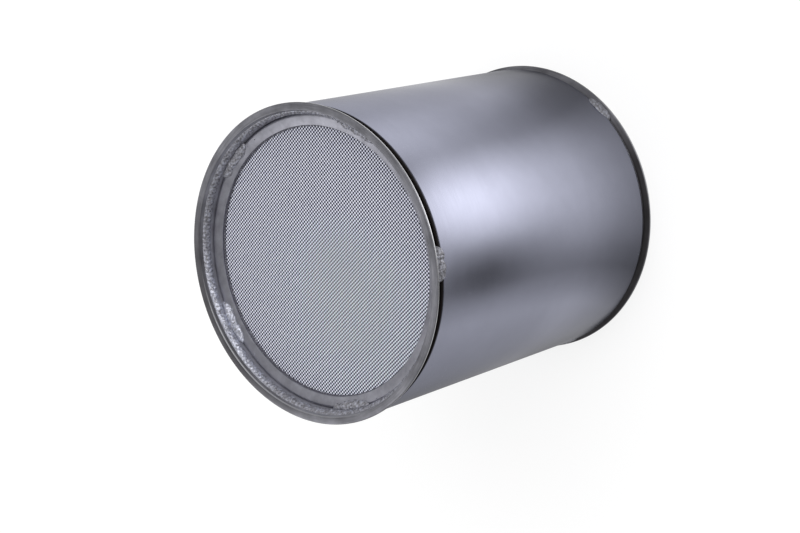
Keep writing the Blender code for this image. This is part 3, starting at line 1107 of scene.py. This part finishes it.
class FILTER_OT_packing(bpy.types.Operator):
    """Finishes of the mounting mat and the insulation blanket, whose solids stay as they are"""

    bl_idname = "filter.packing"
    bl_label = "Mat and blanket"

    def execute(self, context):
        colours = context.scene.filter_colours
        finishes = {
            "mounting_mat": fibre_felt("ceramic_fibre_mat", colours.mat, 2.0 * MM),
            "insulation_blanket": fibre_felt("needled_glass_wool", colours.wool, 4.0 * MM),
        }
        for node, material in finishes.items():
            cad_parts[node].material_slots[0].material = material
        return {"FINISHED"}


class FILTER_OT_stage(bpy.types.Operator):
    """Pale floor, soft lamps, a white surround and the camera"""

    bl_idname = "filter.stage"
    bl_label = "Stage"

    def towards(self, azimuth, elevation):
        """Direction at an azimuth from the camera's side and an elevation, both in degrees."""
        rise = math.radians(elevation)
        flat = flat_direction(math.radians(azimuth) + CAMERA_AZIMUTH) * math.cos(rise)
        return Vector((flat.x, flat.y, math.sin(rise)))

    def surround(self, tree):
        """What metal sees round it: a dim room with pale cards."""
        direction = add_node(tree, "TexCoord", output="Generated")
        height = add_node(tree, "SeparateXYZ", {"Vector": direction}, "Z")
        light = add_node(tree, "MapRange", {"Value": height, **limits(0.0, 0.3, 0.05, 0.52)})
        for azimuth, elevation, reach, strength in FAR_CARDS:
            card = nearing(tree, direction, self.towards(azimuth, elevation), reach, strength)
            light = add_node(tree, "Math", {0: light, 1: card}, operation="ADD")
        return light

    def floor_cards(self, tree):
        """What metal sees on the floor: grey cloth with pale cards and dark flags on it."""
        place = add_node(tree, "TexCoord", output="Object")
        turned = add_node(
            tree, "Mapping", {"Vector": place, "Rotation": (0.0, 0.0, -CAMERA_AZIMUTH)}
        )
        angle = add_node(tree, "TexGradient", {"Vector": turned}, "Fac", gradient_type="RADIAL")
        light = add_node(
            tree,
            "ValToRGB",
            {"Fac": angle},
            stops=[(azimuth / 360 + 0.5, (tone, tone, tone, 1.0)) for azimuth, tone in FLOOR_TONES],
        )
        for azimuth, away, reach, strength in FLOOR_SPOTS:
            distance = add_node(
                tree,
                "VectorMath",
                {0: place, 1: self.towards(azimuth, 0) * away},
                "Value",
                operation="DISTANCE",
            )
            spot = add_node(
                tree,
                "MapRange",
                {"Value": distance, **limits(reach, 0.0, 0.0, strength)},
                interpolation_type="SMOOTHSTEP",
            )
            light = add_node(tree, "Math", {0: light, 1: spot}, operation="ADD")
        away = add_node(tree, "VectorMath", {0: place}, "Value", operation="LENGTH")
        for shade in FLOOR_SHADES:
            share = add_node(tree, "MapRange", {"Value": away, **limits(*shade)})
            light = add_node(tree, "Math", {0: light, 1: share}, operation="MULTIPLY")
        return light

    def ray_kinds(self, tree):
        """Whether a ray is seen by the camera, directly or through glass, and if metal sees it."""
        path = add_node(tree, "LightPath").node.outputs
        seen = add_node(
            tree,
            "Math",
            {0: path["Is Camera Ray"], 1: path["Is Transmission Ray"]},
            operation="MAXIMUM",
        )
        return seen, path["Is Glossy Ray"]

    def lay_floor(self, colours):
        """A round floor that the camera sees as white, with the object's shadow on it."""
        disc = bmesh.new()
        bmesh.ops.create_circle(disc, cap_ends=True, radius=8.0, segments=96)
        mesh = bpy.data.meshes.new("studio_floor")
        disc.to_mesh(mesh)
        disc.free()
        floor = bpy.data.objects.new("studio_floor", mesh)
        bpy.context.scene.collection.objects.link(floor)
        material, tree, shader = new_material("matt_white_floor", colours.floor, 1.0, 0.0)
        tree.nodes.remove(shader)
        seen, mirrored = self.ray_kinds(tree)
        strength = add_node(tree, "Math", {0: seen, 1: 0.72}, operation="MULTIPLY")
        matt = add_node(tree, "BsdfDiffuse", {"Color": shaded(colours.floor, 0.40)})
        glow = add_node(tree, "Emission", {"Strength": strength})
        plain = add_node(tree, "AddShader", {0: matt, 1: glow})
        cards = add_node(tree, "Emission", {"Strength": self.floor_cards(tree)})
        both = add_node(tree, "MixShader", {0: mirrored, 1: plain, 2: cards})
        feed(tree, tree.nodes["Material Output"], {"Surface": both})
        mesh.materials.append(material)
        material.cycles.emission_sampling = "NONE"

    def light_world(self):
        """White round everything for the camera, softer light for matt surfaces and metal."""
        world = bpy.data.worlds.new("studio_surround")
        world.use_nodes = True
        bpy.context.scene.world = world
        tree = world.node_tree
        seen, mirrored = self.ray_kinds(tree)
        strength = 0.45
        for factor, other in ((mirrored, self.surround(tree)), (seen, 1.0)):
            strength = add_node(
                tree, "Mix", {"Factor": factor, "A": strength, "B": other}, data_type="FLOAT"
            )
        feed(tree, tree.nodes["Background"], {"Color": (1.0, 1.0, 1.0, 1.0), "Strength": strength})
        world.cycles.sampling_method = "NONE"

    def hang_lamp(self, name, azimuth, elevation, power):
        """A wide soft lamp, 2.6 m from the object's middle and turned to it, which metal misses."""
        data = bpy.data.lights.new(name, "AREA")
        data.shape = "SQUARE"
        data.size = 3.2
        data.energy = power
        lamp = bpy.data.objects.new(name, data)
        bpy.context.scene.collection.objects.link(lamp)
        direction = self.towards(azimuth, elevation)
        lamp.location = Vector((0.0, 0.0, overall_length / 2)) + direction * 2.6
        lamp.rotation_euler = direction.to_track_quat("Z", "Y").to_euler()
        lamp.visible_glossy = False

    def set_camera(self):
        """Camera at the photograph's viewing angle and distance."""
        data = bpy.data.cameras.new("photograph_view")
        data.sensor_width = 36.0
        data.lens = 82.53
        camera = bpy.data.objects.new("photograph_view", data)
        bpy.context.scene.collection.objects.link(camera)
        camera.location = (0.37872, -1.08754, 1.54870)
        camera.rotation_euler = [math.radians(a) for a in (-13.186, 39.190, -89.992)]
        bpy.context.scene.camera = camera

    def execute(self, context):
        self.lay_floor(context.scene.filter_colours)
        self.light_world()
        self.hang_lamp("key_softbox", 55, 42, 54.0)
        self.hang_lamp("fill_softbox", -150, 50, 24.0)
        self.set_camera()
        context.scene.view_settings.view_transform = "Standard"
        return {"FINISHED"}


class FILTER_PT_build(bpy.types.Panel):
    """Lists the sizes, the colours and the steps that build the filter"""

    bl_label = "Particulate Filter"
    bl_idname = "FILTER_PT_build"
    bl_space_type = "VIEW_3D"
    bl_region_type = "UI"
    bl_category = "Filter"

    def draw(self, context):
        layout = self.layout
        for operator in OPERATORS:
            layout.operator(operator.bl_idname)
        for name in PROPERTY_GROUPS:
            group = getattr(context.scene, name)
            box = layout.box()
            for key in group.__annotations__:
                box.prop(group, key)


PROPERTY_GROUPS = {
    "filter_sheet": FilterSheetSizes,
    "filter_channels": FilterChannelSizes,
    "filter_welds": FilterWeldSizes,
    "filter_colours": FilterColours,
}

OPERATORS = (
    FILTER_OT_stage,
    FILTER_OT_flanges,
    FILTER_OT_jacket,
    FILTER_OT_can,
    FILTER_OT_rings,
    FILTER_OT_seals,
    FILTER_OT_block,
    FILTER_OT_flange_welds,
    FILTER_OT_tacks,
    FILTER_OT_stitches,
    FILTER_OT_spatter,
    FILTER_OT_packing,
)


def register():
    """Adds the classes and the scene's properties to Blender."""
    for name, group in PROPERTY_GROUPS.items():
        bpy.utils.register_class(group)
        setattr(bpy.types.Scene, name, bpy.props.PointerProperty(type=group))
    for kind in (*OPERATORS, FILTER_PT_build):
        bpy.utils.register_class(kind)


def unregister():
    """Takes them out again."""
    for kind in (FILTER_PT_build, *reversed(OPERATORS)):
        bpy.utils.unregister_class(kind)
    for name, group in PROPERTY_GROUPS.items():
        delattr(bpy.types.Scene, name)
        bpy.utils.unregister_class(group)


def main():
    """Builds every piece and the stage."""
    register()
    for operator in OPERATORS:
        category, action = operator.bl_idname.split(".")
        getattr(getattr(bpy.ops, category), action)()


if __name__ == "__main__":
    main()
